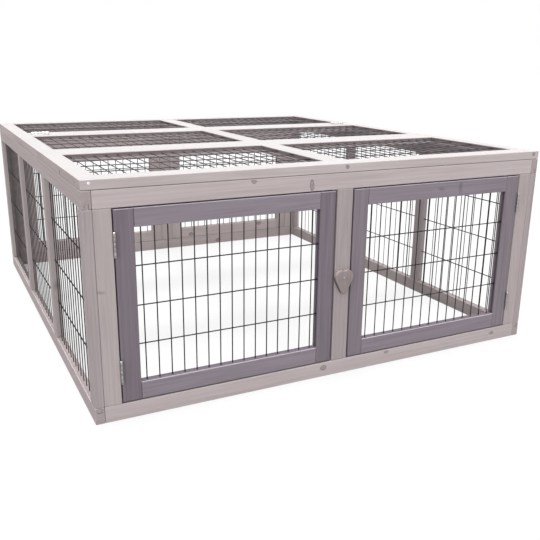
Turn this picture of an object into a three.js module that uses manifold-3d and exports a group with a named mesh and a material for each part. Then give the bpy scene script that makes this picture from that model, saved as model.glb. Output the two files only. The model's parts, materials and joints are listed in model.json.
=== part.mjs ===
// Outdoor rabbit run: a low, open-bottomed pen of grooved softwood frames that hold welded wire
// mesh, with two framed doors at the front on butt hinges, a heart-shaped turn button that keeps
// them shut, and a three-section mesh roof whose front two sections lift as one lid.
// Millimetres, +Z up. X runs along the front, Y from the front to the back.
import * as THREE from "three";
import { mergeVertices } from "three/addons/utils/BufferGeometryUtils.js";
import Module from "manifold-3d";

// ---- Driving dimensions ----

// Overall
const runWidth = 1060;
const runDepth = 1180;
const runHeight = 460;

// Boards of the walls and the roof
const boardThickness = 18;
const boardWidth = 33;
const mullionWidth = 37;
const roofThickness = 18;
const roofRailWidth = 48;
const roofSideRailWidth = 36;
const edgeEase = 1.2;

// Grooves that hold the mesh, and the tongues that fill them at the joints
const grooveWidth = 8;
const grooveDepth = 10;
const roofGrooveDrop = 7;
const tongueSlack = 0.3;

// Clearances
const jointGap = 0.3;
const lidRestGap = 0.8;
const lidSeam = 2;
const backPanelGap = 0.8;

// Doors
const doorBoardWidth = 35;
const doorSideGap = 4;
const doorEndGap = 2.5;

// Welded mesh
const wireSize = 2;
const panelWireSize = 2.4;
const weldSink = 0.3;
const layerGap = 0.15;
const edgeWireExtra = 0.1;
const shortPitch = 25.4;
const doorLongPitch = 76.2;
const sideLongPitch = 97;
const roofLongPitch = 76.2;
const meshSlack = 0.5;

// Butt hinges
const hingeLength = 45;
const knuckleRadius = 3;
const knuckleCount = 5;
const knuckleGap = 0.3;
const knuckleSides = 10;
const pinSides = 8;
const pinRadius = 1.5;
const pinBoreSlack = 0.35;
const pinHeadRadius = 2.4;
const pinHeadHeight = 1.2;
const leafThickness = 1.2;
const leafReach = 13;
const leafSeatGap = 0.3;
const leafKnuckleGap = 0.4;
const doorHingeInset = 63;
const roofHingeInset = 62;

// Heart-shaped turn button and its screw
const heartWidth = 44.4;
const heartHeight = 49;
const heartThickness = 10;
const heartLobeRadius = 13.6;
const heartTipRadius = 6;
const heartPivotDrop = 16;
const heartEase = 1.5;
const heartBoreSlack = 0.3;
const screwRadius = 2;
const screwHeadRadius = 4.5;
const screwHeadHeight = 2.6;
const screwDepth = 12;
const screwSides = 12;
// The domed head's outline, as shares of its radius and height.
const screwDome = [[1, 0], [0.92, 0.5], [0.6, 0.88], [0, 1]];
const heartArcSegments = 8;

// ---- Sizes that follow ----

const bodyHeight = runHeight - roofThickness - lidRestGap;
const halfWidth = runWidth / 2;
const innerHalfWidth = halfWidth - boardThickness;
const wallSpan = 2 * (innerHalfWidth - jointGap);
const stileHeight = bodyHeight - 2 * (boardWidth + jointGap);
const openingBottom = boardWidth;
const openingTop = bodyHeight - boardWidth;
const openingOuterX = innerHalfWidth - jointGap - boardWidth;
const openingInnerX = mullionWidth / 2;
const roofSectionDepth = (runDepth - lidSeam - jointGap) / 3;
const middleSectionFront = roofSectionDepth + jointGap;
const rearSectionFront = middleSectionFront + roofSectionDepth + lidSeam;
const rearRoofBottom = bodyHeight + jointGap;
const lidBottom = bodyHeight + lidRestGap;
const jointSink = edgeEase + 1;
const doorWidth = openingOuterX - openingInnerX - 2 * doorSideGap;
const doorHeight = openingTop - openingBottom - 2 * doorEndGap;
const doorBottom = openingBottom + doorEndGap;
const doorHingeHeights = {
  upper: doorBottom + doorHeight - doorHingeInset,
  lower: doorBottom + doorHingeInset,
};
const buttonHeight = (openingBottom + openingTop) / 2;
const hingeAxisRise = knuckleRadius + leafSeatGap;
const frontReach = Math.max(
  hingeAxisRise + knuckleRadius,
  jointGap + heartThickness + jointGap + screwHeadHeight,
);

// ---- Finishes ----

// Stained boards, the doors' darker stain, coated wire and zinc-plated fittings.
const greyWood = { color: 0xb1a6a5, roughness: 0.82, metalness: 0 };
const shadedWood = { color: 0xa59b9b, roughness: 0.85, metalness: 0 };
const mauveWood = { color: 0x877c8a, roughness: 0.8, metalness: 0 };
const heartWood = { color: 0x998e8b, roughness: 0.8, metalness: 0 };
const darkWire = { color: 0x3f3b3f, roughness: 0.55, metalness: 0.6 };
const zincSteel = { color: 0xa8a6a6, roughness: 0.4, metalness: 0.85 };

// ---- Solids ----

// Edges shorter than this are closed up after a join, and points nearer than this are one.
const cleanUp = 0.002;
const samePoint = 1e-4;
const wasm = await Module();
wasm.setup();
const axisOf = {
  x: new THREE.Vector3(1, 0, 0),
  y: new THREE.Vector3(0, 1, 0),
  z: new THREE.Vector3(0, 0, 1),
};

function solidFrom(geometry) {
  const bare = geometry.clone();
  bare.deleteAttribute("normal");
  bare.deleteAttribute("uv");
  bare.clearGroups();
  const merged = mergeVertices(bare, samePoint);
  return new wasm.Manifold(new wasm.Mesh({
    numProp: 3,
    vertProperties: Float32Array.from(merged.getAttribute("position").array),
    triVerts: Uint32Array.from(merged.index.array),
  }));
}

function geometryFrom(solid) {
  const mesh = solid.getMesh();
  const geometry = new THREE.BufferGeometry();
  geometry.setAttribute("position", new THREE.BufferAttribute(mesh.vertProperties, 3));
  geometry.setIndex(new THREE.BufferAttribute(mesh.triVerts, 1));
  geometry.computeVertexNormals();
  return geometry;
}

function joined(solids) {
  return solids.reduce((whole, solid) => whole.add(solid)).asOriginal().simplify(cleanUp);
}

// Moves a centred form's points to exact ends, so that faces meant to meet do meet.
function stretched(geometry, ends) {
  const points = geometry.getAttribute("position");
  for (let i = 0; i < points.count; i += 1) {
    for (const [axis, [low, high]] of Object.entries(ends)) {
      const k = "xyz".indexOf(axis);
      points.setComponent(i, k, points.getComponent(i, k) < 0 ? low : high);
    }
  }
  return geometry;
}

// A block between two corners.
function block([x0, y0, z0], [x1, y1, z1]) {
  const cube = new THREE.BoxGeometry(1, 1, 1);
  return solidFrom(stretched(cube, { x: [x0, x1], y: [y0, y1], z: [z0, z1] }));
}

// A round bar along +Z from z0 to z1, with a flat side and not an edge to each axis.
function bar(radius, z0, z1, sides) {
  const geometry = new THREE.CylinderGeometry(radius, radius, 1, sides);
  geometry.rotateY(Math.PI / sides);
  geometry.rotateX(Math.PI / 2);
  return solidFrom(stretched(geometry, { z: [z0, z1] }));
}

// Turns a solid made in (across, thickness, along) coordinates into the run's axes. Where the
// three directions are left-handed, the solid is turned end for end along its length.
function oriented(solid, across, thick, along, length) {
  const a = axisOf[across];
  const b = axisOf[thick];
  const c = axisOf[along].clone();
  const leftHanded = a.clone().cross(b).dot(c) < 0;
  const matrix = new THREE.Matrix4();
  if (leftHanded) {
    matrix.makeBasis(a, b, c.clone().negate());
    matrix.setPosition(c.clone().multiplyScalar(length));
  } else {
    matrix.makeBasis(a, b, c);
  }
  return solid.transform(matrix.toArray());
}

function named(name, solid, finish, [x, y, z] = [0, 0, 0]) {
  const mesh = new THREE.Mesh(geometryFrom(solid), new THREE.MeshStandardMaterial(finish));
  mesh.name = name;
  mesh.position.set(x, y, z);
  return mesh;
}

// ---- Boards ----

// The section of a board: four eased edges, and a groove in its low or high edge, or both.
function boardSection(width, thickness, grooves, grooveMiddle) {
  const g0 = grooveMiddle - grooveWidth / 2;
  const g1 = grooveMiddle + grooveWidth / 2;
  const shape = new THREE.Shape();
  shape.moveTo(edgeEase, 0);
  shape.lineTo(width - edgeEase, 0);
  shape.lineTo(width, edgeEase);
  if (grooves.includes("high")) {
    shape.lineTo(width, g0);
    shape.lineTo(width - grooveDepth, g0);
    shape.lineTo(width - grooveDepth, g1);
    shape.lineTo(width, g1);
  }
  shape.lineTo(width, thickness - edgeEase);
  shape.lineTo(width - edgeEase, thickness);
  shape.lineTo(edgeEase, thickness);
  shape.lineTo(0, thickness - edgeEase);
  if (grooves.includes("low")) {
    shape.lineTo(0, g1);
    shape.lineTo(grooveDepth, g1);
    shape.lineTo(grooveDepth, g0);
    shape.lineTo(0, g0);
  }
  shape.lineTo(0, edgeEase);
  return shape;
}

// A board with its corner at the origin. A tongued board has a stub at both ends that fills the
// groove of the board it meets, less a slack.
function board({
  across, thick, along, length, width = boardWidth, thickness = boardThickness,
  grooves = [], grooveMiddle = thickness / 2, tongued = false, sink = 0,
}) {
  const section = boardSection(width, thickness, grooves, grooveMiddle);
  const body = new THREE.ExtrudeGeometry(section, { depth: length + 2 * sink, bevelEnabled: false });
  body.translate(0, 0, -sink);
  let solid = solidFrom(body);
  if (tongued) {
    const reach = grooveDepth - tongueSlack - jointGap;
    const low = grooves.includes("low") ? grooveDepth + tongueSlack : edgeEase;
    const high = grooves.includes("high") ? grooveDepth + tongueSlack : edgeEase;
    const half = grooveWidth / 2 - tongueSlack;
    const stub = block(
      [low, grooveMiddle - half, -reach],
      [width - high, grooveMiddle + half, length + reach],
    );
    solid = solid.add(stub);
  }
  return oriented(solid, across, thick, along, length);
}

// ---- Welded mesh ----

// Wires at one pitch, centred in the opening.
function wirePlaces(opening, pitch) {
  const count = Math.floor(opening / pitch);
  const first = (opening - (count - 1) * pitch) / 2;
  return Array.from({ length: count }, (_, i) => first + i * pitch);
}

// A sheet of mesh for an opening, its middle plane at thickness 0. Short-pitch wires run along
// the opening and long-pitch wires across it, and edge wires lie in the grooves. A welded sheet
// joins its wires at every crossing. Otherwise the long-pitch wires lie a hair behind the others
// and join the edge wires.
function meshSheet({
  across, thick, along, openingAcross, openingAlong, longPitch, welded, wire = wireSize,
}) {
  const reach = grooveDepth - meshSlack;
  const half = wire / 2;
  const step = welded ? -weldSink : layerGap;
  const front = -wire - step / 2;
  const back = step / 2;
  const low = -reach;
  const high = openingAcross + reach;
  const top = openingAlong + reach;
  const edgeFace = back + wire + edgeWireExtra;
  const ring = block([low, -edgeFace, low], [high, edgeFace, top]).subtract(block(
    [low + wire, -2 * edgeFace, low + wire],
    [high - wire, 2 * edgeFace, top - wire],
  ));
  const wires = [ring];
  for (const a of wirePlaces(openingAcross, shortPitch)) {
    wires.push(block([a - half, front, low + half], [a + half, front + wire, top - half]));
  }
  for (const b of wirePlaces(openingAlong, longPitch)) {
    wires.push(block([low + half, back, b - half], [high - half, back + wire, b + half]));
  }
  return oriented(joined(wires), across, thick, along, openingAlong);
}

// ---- Side walls ----

function sideWall(side, x) {
  const wall = new THREE.Group();
  wall.position.x = x;
  const rail = { across: "z", thick: "x", along: "y", length: runDepth };
  const railTop = bodyHeight - boardWidth;
  wall.add(
    named(`${side}_wall_bottom_rail`, board({ ...rail, grooves: ["high"] }), greyWood),
    named(`${side}_wall_top_rail`, board({ ...rail, grooves: ["low"] }), greyWood, [0, 0, railTop]),
  );
  const stiles = [
    { name: "front_stile", y: 0, grooves: ["high"] },
    { name: "front_divider", y: (runDepth - boardWidth) / 3, grooves: ["low", "high"] },
    { name: "rear_divider", y: (2 * (runDepth - boardWidth)) / 3, grooves: ["low", "high"] },
    { name: "rear_stile", y: runDepth - boardWidth, grooves: ["low"] },
  ];
  for (const { name, y, grooves } of stiles) {
    const stile = board({
      across: "y", thick: "x", along: "z", length: stileHeight, grooves, tongued: true,
    });
    wall.add(named(`${side}_wall_${name}`, stile, greyWood, [0, y, boardWidth + jointGap]));
  }
  ["front", "middle", "rear"].forEach((bay, i) => {
    const start = stiles[i].y + boardWidth;
    const sheet = meshSheet({
      across: "y", thick: "x", along: "z",
      openingAcross: stiles[i + 1].y - start,
      openingAlong: openingTop - openingBottom,
      longPitch: sideLongPitch,
    });
    wall.add(named(`${side}_wall_${bay}_mesh`, sheet, darkWire, [boardThickness / 2, start, openingBottom]));
  });
  return wall;
}

// ---- Front and rear walls ----

// The five boards of an end wall. Stiles stand between the rails with a gap, or run into them by
// a sink where the wall is one glued frame.
function endWallBoards(gap, sink) {
  const rail = { across: "z", thick: "y", along: "x", length: wallSpan };
  const length = bodyHeight - 2 * (boardWidth + gap);
  const stile = { across: "x", thick: "y", along: "z", length, sink };
  const foot = boardWidth + gap;
  return [
    { name: "bottom_rail", solid: board(rail), place: [-wallSpan / 2, 0, 0] },
    { name: "top_rail", solid: board(rail), place: [-wallSpan / 2, 0, bodyHeight - boardWidth] },
    { name: "left_stile", solid: board(stile), place: [-wallSpan / 2, 0, foot] },
    { name: "right_stile", solid: board(stile), place: [wallSpan / 2 - boardWidth, 0, foot] },
    {
      name: "mullion",
      solid: board({ ...stile, width: mullionWidth }),
      place: [-mullionWidth / 2, 0, foot],
    },
  ];
}

function glued(boards) {
  return joined(boards.map(({ solid, place }) => solid.translate(place)));
}

// The round-headed screw on which the turn button pivots, seated in the mullion. Its own axis is
// +Z, with the mullion's face at 0.
function buttonScrew() {
  const underHead = jointGap + heartThickness + jointGap;
  const shank = bar(screwRadius, -screwDepth, underHead + screwHeadHeight / 2, screwSides);
  const profile = screwDome.map(([out, up]) => (
    new THREE.Vector2(out * screwHeadRadius, up * screwHeadHeight)
  ));
  const head = new THREE.LatheGeometry([new THREE.Vector2(0, 0), ...profile], screwSides);
  head.rotateX(Math.PI / 2);
  head.translate(0, 0, underHead);
  return shank.add(solidFrom(head)).rotate([90, 0, 0]);
}

function frontWall() {
  const wall = new THREE.Group();
  for (const { name, solid, place } of endWallBoards(jointGap, 0)) {
    const drop = buttonHeight - place[2];
    const whole = name === "mullion"
      ? solid.add(buttonScrew().translate([mullionWidth / 2, 0, drop]))
      : solid;
    wall.add(named(`front_${name}`, whole, greyWood, place));
  }
  return wall;
}

function rearWall() {
  const wall = new THREE.Group();
  wall.position.y = runDepth - boardThickness;
  wall.add(named("rear_wall_frame", glued(endWallBoards(0, jointSink)), shadedWood));
  const width = openingOuterX - openingInnerX - 2 * backPanelGap;
  const height = openingTop - openingBottom - 2 * backPanelGap;
  const z = openingBottom + backPanelGap;
  const leftX = backPanelGap - openingOuterX;
  const rightX = openingInnerX + backPanelGap;
  for (const [prefix, x] of [["rear_left", leftX], ["rear_right", rightX]]) {
    const frame = glued(panelBoards(width, height, 0, jointSink));
    wall.add(named(`${prefix}_panel_frame`, frame, shadedWood, [x, 0, z]));
    const sheet = panelMesh(width, height, false);
    wall.add(named(`${prefix}_panel_mesh`, sheet, darkWire, meshPlace(x, z)));
  }
  return wall;
}

// ---- Framed mesh panels: the doors and the rear panels ----

// Two full-height stiles with two rails between them, all grooved on their inner edges.
function panelBoards(width, height, gap, sink) {
  const between = width - 2 * (doorBoardWidth + gap);
  const tongued = gap > 0;
  const stile = { across: "x", thick: "y", along: "z", length: height, width: doorBoardWidth };
  const rail = {
    across: "z", thick: "y", along: "x", length: between, width: doorBoardWidth, tongued, sink,
  };
  const inner = doorBoardWidth + gap;
  const far = doorBoardWidth;
  return [
    { name: "left_stile", solid: board({ ...stile, grooves: ["high"] }), place: [0, 0, 0] },
    { name: "right_stile", solid: board({ ...stile, grooves: ["low"] }), place: [width - far, 0, 0] },
    { name: "bottom_rail", solid: board({ ...rail, grooves: ["high"] }), place: [inner, 0, 0] },
    { name: "top_rail", solid: board({ ...rail, grooves: ["low"] }), place: [inner, 0, height - far] },
  ];
}

function panelMesh(width, height, welded) {
  return meshSheet({
    across: "x", thick: "y", along: "z", wire: panelWireSize,
    openingAcross: width - 2 * doorBoardWidth,
    openingAlong: height - 2 * doorBoardWidth,
    longPitch: doorLongPitch,
    welded,
  });
}

function meshPlace(x, z) {
  return [x + doorBoardWidth, boardThickness / 2, z + doorBoardWidth];
}

// ---- Butt hinges ----

// One leaf of a butt hinge. Its pin lies along the third axis. The second axis points away from
// the boards, and the first from the leaf that stays to the leaf that moves. A closed leaf turns
// into the seam between the boards, and a flat leaf lies on their faces.
function hingeLeaf({ moving, flat, seam }) {
  const sign = moving ? 1 : -1;
  const clear = knuckleRadius + leafKnuckleGap;
  const half = hingeLength / 2;
  const segment = (hingeLength - (knuckleCount - 1) * knuckleGap) / knuckleCount;
  const inner = seam / 2 - leafSeatGap - leafThickness;
  const across = flat ? [clear, clear + leafReach] : [inner, inner + leafThickness];
  const out = flat
    ? [-knuckleRadius, -knuckleRadius + leafThickness]
    : [-clear - leafReach, -clear];
  const plate = leafBlock(sign, across, out, [-half, half]);
  const tabAcross = flat ? [0, clear + leafThickness] : across;
  const tabOut = flat ? out : [-clear - leafThickness, 0];
  const parts = [plate];
  for (let i = moving ? 1 : 0; i < knuckleCount; i += 2) {
    const low = -half + i * (segment + knuckleGap);
    parts.push(leafBlock(sign, tabAcross, tabOut, [low, low + segment]));
    parts.push(bar(knuckleRadius, low, low + segment, knuckleSides));
  }
  const whole = joined(parts);
  if (moving) {
    return whole.subtract(bar(pinRadius + pinBoreSlack, -hingeLength, hingeLength, pinSides));
  }
  const pin = bar(pinRadius, -half, half, pinSides);
  const heads = [1, -1].map((end) => {
    const inside = end * (half - pinHeadHeight / 2);
    const outside = end * (half + pinHeadHeight);
    return bar(pinHeadRadius, Math.min(inside, outside), Math.max(inside, outside), knuckleSides);
  });
  return joined([whole, pin, ...heads]);
}

function leafBlock(sign, across, out, run) {
  const [x0, x1] = sign > 0 ? across : [-across[1], -across[0]];
  return block([x0, out[0], run[0]], [x1, out[1], run[1]]);
}

function hingeLeafMesh(name, leaf, towards, away, place) {
  const mesh = named(name, hingeLeaf(leaf), zincSteel, place);
  const pinLine = towards.clone().cross(away);
  mesh.setRotationFromMatrix(new THREE.Matrix4().makeBasis(towards, away, pinLine));
  return mesh;
}

// ---- Doors ----

function door(side) {
  const group = new THREE.Group();
  const onLeft = side === "left";
  const x = onLeft ? -openingOuterX + doorSideGap : openingInnerX + doorSideGap;
  const stileNames = onLeft
    ? { left_stile: "hinge_stile", right_stile: "lock_stile" }
    : { left_stile: "lock_stile", right_stile: "hinge_stile" };
  for (const { name, solid, place } of panelBoards(doorWidth, doorHeight, jointGap, 0)) {
    const shown = stileNames[name] ?? name;
    const corner = [x + place[0], 0, doorBottom + place[2]];
    group.add(named(`${side}_door_${shown}`, solid, mauveWood, corner));
  }
  const sheet = panelMesh(doorWidth, doorHeight, true);
  group.add(named(`${side}_door_mesh`, sheet, darkWire, meshPlace(x, doorBottom)));
  const axisX = openingOuterX - doorSideGap / 2;
  const towards = new THREE.Vector3(onLeft ? 1 : -1, 0, 0);
  const away = new THREE.Vector3(0, -1, 0);
  for (const [level, z] of Object.entries(doorHingeHeights)) {
    const place = [onLeft ? -axisX : axisX, -hingeAxisRise, z];
    for (const moving of [false, true]) {
      const name = `${side}_door_${level}_hinge_${moving ? "door" : "frame"}_leaf`;
      group.add(hingeLeafMesh(name, { moving, seam: doorSideGap }, towards, away, place));
    }
  }
  return group;
}

// ---- Turn button ----

// A heart from two lobe arcs and a rounded tip, joined by the lines that touch both. The pivot
// is at the origin, and the tip points down.
function heartOutline() {
  const lobeX = heartWidth / 2 - heartLobeRadius;
  const lobeY = heartPivotDrop - heartLobeRadius;
  const tipY = heartPivotDrop - heartHeight + heartTipRadius;
  const span = Math.hypot(lobeX, tipY - lobeY);
  const lineAngle = Math.atan2(tipY - lobeY, -lobeX);
  const touch = lineAngle + Math.acos((heartLobeRadius - heartTipRadius) / span);
  const notch = Math.acos(lobeX / heartLobeRadius);
  const shape = new THREE.Shape();
  shape.absarc(lobeX, lobeY, heartLobeRadius, Math.PI - notch, touch, true);
  shape.absarc(0, tipY, heartTipRadius, touch, Math.PI - touch, true);
  shape.absarc(-lobeX, lobeY, heartLobeRadius, Math.PI - touch, notch, true);
  return shape;
}

function turnButton() {
  const body = new THREE.ExtrudeGeometry(heartOutline(), {
    depth: heartThickness - 2 * heartEase,
    bevelThickness: heartEase,
    bevelSize: heartEase,
    bevelOffset: -heartEase,
    bevelSegments: 1,
    curveSegments: heartArcSegments,
  });
  body.translate(0, 0, heartEase);
  const boreRadius = screwRadius + heartBoreSlack;
  const bore = bar(boreRadius, -heartThickness, 2 * heartThickness, screwSides);
  const mesh = named("heart_turn_button", solidFrom(body).subtract(bore), heartWood);
  mesh.rotation.x = Math.PI / 2;
  mesh.position.set(0, -jointGap, buttonHeight);
  return mesh;
}

// ---- Roof ----

// Two full-width rails with two side rails and a centre rail glued between them, grooved for
// the mesh of the two cells.
function roofSection(name, front, bottom) {
  const group = new THREE.Group();
  group.position.set(0, front, bottom);
  const thickness = runHeight - bottom;
  const grooveMiddle = thickness - roofGrooveDrop;
  const lengthwise = roofSectionDepth - 2 * roofRailWidth;
  const shared = { thick: "z", thickness, grooveMiddle };
  const rail = { ...shared, across: "y", along: "x", length: runWidth, width: roofRailWidth };
  const bearer = { ...shared, across: "x", along: "y", length: lengthwise, sink: jointSink };
  const side = { ...bearer, width: roofSideRailWidth };
  const centre = { ...bearer, width: roofRailWidth, grooves: ["low", "high"] };
  const rightX = halfWidth - roofSideRailWidth;
  const frame = glued([
    { solid: board({ ...rail, grooves: ["high"] }), place: [-halfWidth, 0, 0] },
    { solid: board({ ...rail, grooves: ["low"] }), place: [-halfWidth, roofRailWidth + lengthwise, 0] },
    { solid: board({ ...side, grooves: ["high"] }), place: [-halfWidth, roofRailWidth, 0] },
    { solid: board({ ...side, grooves: ["low"] }), place: [rightX, roofRailWidth, 0] },
    { solid: board(centre), place: [-roofRailWidth / 2, roofRailWidth, 0] },
  ]);
  group.add(named(`${name}_roof_frame`, frame, greyWood));
  for (const [side, x] of [["left", -rightX], ["right", roofRailWidth / 2]]) {
    const sheet = meshSheet({
      across: "x", thick: "z", along: "y",
      openingAcross: rightX - roofRailWidth / 2,
      openingAlong: lengthwise,
      longPitch: roofLongPitch,
    });
    group.add(named(`${name}_roof_${side}_mesh`, sheet, darkWire, [x, roofRailWidth, grooveMiddle]));
  }
  return group;
}

function roofHinges() {
  const group = new THREE.Group();
  const towards = new THREE.Vector3(0, -1, 0);
  const away = new THREE.Vector3(0, 0, 1);
  const y = rearSectionFront - lidSeam / 2;
  const rightX = halfWidth - roofHingeInset;
  for (const [side, x] of [["left", -rightX], ["right", rightX]]) {
    for (const moving of [false, true]) {
      const name = `roof_${side}_hinge_${moving ? "lid" : "frame"}_leaf`;
      const place = [x, y, runHeight + hingeAxisRise];
      group.add(hingeLeafMesh(name, { moving, flat: true, seam: lidSeam }, towards, away, place));
    }
  }
  return group;
}

// ---- The whole run ----

// The origin lies on the ground under the middle of the whole outline.
const run = new THREE.Group();
run.position.y = (frontReach - runDepth) / 2;
run.add(
  frontWall(),
  rearWall(),
  sideWall("left", -halfWidth),
  sideWall("right", innerHalfWidth),
  door("left"),
  door("right"),
  turnButton(),
  roofSection("front", 0, lidBottom),
  roofSection("middle", middleSectionFront, lidBottom),
  roofSection("rear", rearSectionFront, rearRoofBottom),
  roofHinges(),
);

export default run;
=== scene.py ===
"""Outdoor rabbit run: grooved pine frames, welded wire mesh, butt hinges and a heart turn button."""
import json
import math

import bmesh
import bpy
from mathutils import Matrix, Vector

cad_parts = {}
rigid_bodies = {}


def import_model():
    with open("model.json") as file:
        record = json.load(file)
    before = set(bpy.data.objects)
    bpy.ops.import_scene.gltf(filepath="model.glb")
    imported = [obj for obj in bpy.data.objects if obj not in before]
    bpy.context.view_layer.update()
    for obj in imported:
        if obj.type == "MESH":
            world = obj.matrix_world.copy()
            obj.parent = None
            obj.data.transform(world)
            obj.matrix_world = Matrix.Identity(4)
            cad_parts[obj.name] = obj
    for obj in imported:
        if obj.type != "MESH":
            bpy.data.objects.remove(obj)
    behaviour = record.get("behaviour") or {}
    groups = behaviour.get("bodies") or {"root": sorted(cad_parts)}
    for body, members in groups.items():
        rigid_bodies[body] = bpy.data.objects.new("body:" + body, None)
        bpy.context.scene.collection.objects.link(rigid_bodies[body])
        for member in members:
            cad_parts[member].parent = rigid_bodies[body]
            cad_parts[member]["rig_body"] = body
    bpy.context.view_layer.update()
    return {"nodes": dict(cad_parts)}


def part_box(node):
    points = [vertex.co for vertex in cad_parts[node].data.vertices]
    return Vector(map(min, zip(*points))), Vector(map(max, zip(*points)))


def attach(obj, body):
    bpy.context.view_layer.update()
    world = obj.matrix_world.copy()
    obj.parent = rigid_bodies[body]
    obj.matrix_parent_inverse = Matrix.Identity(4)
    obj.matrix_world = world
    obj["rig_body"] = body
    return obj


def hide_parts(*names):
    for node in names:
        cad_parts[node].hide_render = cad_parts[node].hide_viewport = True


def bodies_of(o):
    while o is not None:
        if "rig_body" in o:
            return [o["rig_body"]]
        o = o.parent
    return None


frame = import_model()

MM = 0.001
X, Y, Z = 0, 1, 2

# Timber, as the frames are built
BOARD = 33 * MM
MULLION = 37 * MM
DOOR_BOARD = 35 * MM
HINGE_SIDE_GAIN = 1.5 * MM      # the doors' hinge stiles reach this much closer to the frame
ROOF_RAIL = 48 * MM
ROOF_SIDE = 36 * MM
GAP = 0.3 * MM
GROOVE_WIDTH = 8 * MM
GROOVE_DEPTH = 10 * MM
TONGUE_PLAY = 0.25 * MM
TONGUE_ROOT = 1 * MM
TONGUE_EDGE = 0.5 * MM
EASED_EDGE = 1.3 * MM

# Welded mesh
WIRE = 2.0 * MM
PANEL_WIRE = 2.4 * MM
SIDE_CROSS_WIRE = 2.6 * MM
SHEET_REACH = 9.5 * MM          # how far a sheet goes into its grooves
SHEET_TRIM = 1 * MM
WELD_SINK = 0.1 * MM
SHORT_PITCH = 25.4 * MM
LONG_PITCH = 76.2 * MM
SIDE_LONG_PITCH = 97 * MM

# Screws through the outer roof rails, in mm
ROOF_SCREWS_X = (-514.5, 1.5, 514.5)
ROOF_SCREWS_Z = 453.5


# ---------------------------------------------------------------- materials

def linear(hex_colour):
    """An sRGB hex colour as linear RGBA."""
    parts = [int(hex_colour[i:i + 2], 16) / 255 for i in (1, 3, 5)]
    return tuple(p / 12.92 if p <= 0.04045 else ((p + 0.055) / 1.055) ** 2.4 for p in parts) + (1.0,)


def add(tree, kind, inputs=None, **settings):
    """Adds a node with its settings, values and links."""
    node = tree.nodes.new(kind)
    for key, value in settings.items():
        setattr(node, key, value)
    for socket, value in (inputs or {}).items():
        if isinstance(value, bpy.types.NodeSocket):
            tree.links.new(value, node.inputs[socket])
        else:
            node.inputs[socket].default_value = value
    return node


def new_material(name):
    material = bpy.data.materials.new(name)
    material.use_nodes = True
    tree = material.node_tree
    shader = tree.nodes["Principled BSDF"]
    return material, tree, shader


def ramp(tree, factor, stops):
    """Hex colours at places from 0 to 1 along a factor."""
    node = add(tree, "ShaderNodeValToRGB", {"Fac": factor})
    band = node.color_ramp
    while len(band.elements) < len(stops):
        band.elements.new(0.5)
    for element, (place, colour) in zip(band.elements, stops):
        element.position = place
        element.color = linear(colour)
    return node.outputs["Color"]


def stretched(tree, along, width_mm, length_mm, seed):
    """Object coordinates scaled so that one unit is width_mm across the grain and length_mm along."""
    scale = [1000 / width_mm] * 3
    scale[along] = 1000 / length_mm
    place = add(tree, "ShaderNodeTexCoord").outputs["Object"]
    mapped = add(tree, "ShaderNodeMapping", {
        "Vector": place,
        "Location": (seed * 3.1, seed * 5.3, seed * 7.7),
        "Scale": scale,
    })
    return mapped.outputs["Vector"]


# How strongly a knot darkens its board from outside its rim to its heart
KNOT_RIM = [(0.22, "#000000"), (0.40, "#e6e6e6"), (0.60, "#9c9c9c"), (0.9, "#c0c0c0")]
SMUDGE = [(0.05, "#000000"), (0.45, "#7a7a7a"), (0.95, "#c8c8c8")]
KNOT_TONE = "#64585a"
KNOT_FADE = 1.6                 # in radii
WANDER = 8 * MM
WANDER_SPAN = 14                # in mm


def knot_field(tree, knots):
    """1 at the heart of each knot, falling to 0 beyond its rim; a knot is a place and its three
    radii, in mm."""
    place = add(tree, "ShaderNodeTexCoord").outputs["Object"]
    wander = add(tree, "ShaderNodeTexNoise", {
        "Vector": place, "Scale": 1000 / WANDER_SPAN, "Detail": 2.0,
    }).outputs["Color"]
    wander = add(tree, "ShaderNodeVectorMath", {
        0: wander, 1: (0.5, 0.5, 0.5),
    }, operation="SUBTRACT").outputs[0]
    place = add(tree, "ShaderNodeVectorMath", {
        0: wander, 1: (WANDER,) * 3, 2: place,
    }, operation="MULTIPLY_ADD").outputs[0]
    total = None
    for centre, radii in knots:
        middle = tuple(v * MM for v in centre)
        away = add(tree, "ShaderNodeVectorMath", {0: place, 1: middle}, operation="SUBTRACT").outputs[0]
        squeeze = tuple(1000 / r for r in radii)
        scaled = add(tree, "ShaderNodeVectorMath", {0: away, 1: squeeze}, operation="MULTIPLY").outputs[0]
        length = add(tree, "ShaderNodeVectorMath", {0: scaled}, operation="LENGTH").outputs["Value"]
        near = add(tree, "ShaderNodeMapRange", {
            "Value": length, "From Max": KNOT_FADE, "To Min": 1.0, "To Max": 0.0,
        }).outputs["Result"]
        if total is None:
            total = near
        else:
            total = add(tree, "ShaderNodeMath", {0: total, 1: near}, operation="MAXIMUM").outputs[0]
    return total


# Widths across the grain and lengths along it, in mm, over which the wood's figure changes
RING_SPAN = (40, 1100)
FIBRE_SPAN = (6.0, 260)
PATCH_SPAN = (120, 420)
SPECK_SPAN = (2.0, 2.0)
RINGS_PER_SPAN = 14.0
KNOT_RINGS = 2.6

# What each part of the figure adds to the tone, from 0 for the darkest stain to 1 for the palest
RING_WEIGHT = -0.34
FIBRE_WEIGHT = 1.05
PATCH_WEIGHT = 0.36
TONE_BASE = 0.50
TONE_SHIFT = 0.62
TONE_STOPS = (0.05, 0.5, 0.95)


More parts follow.
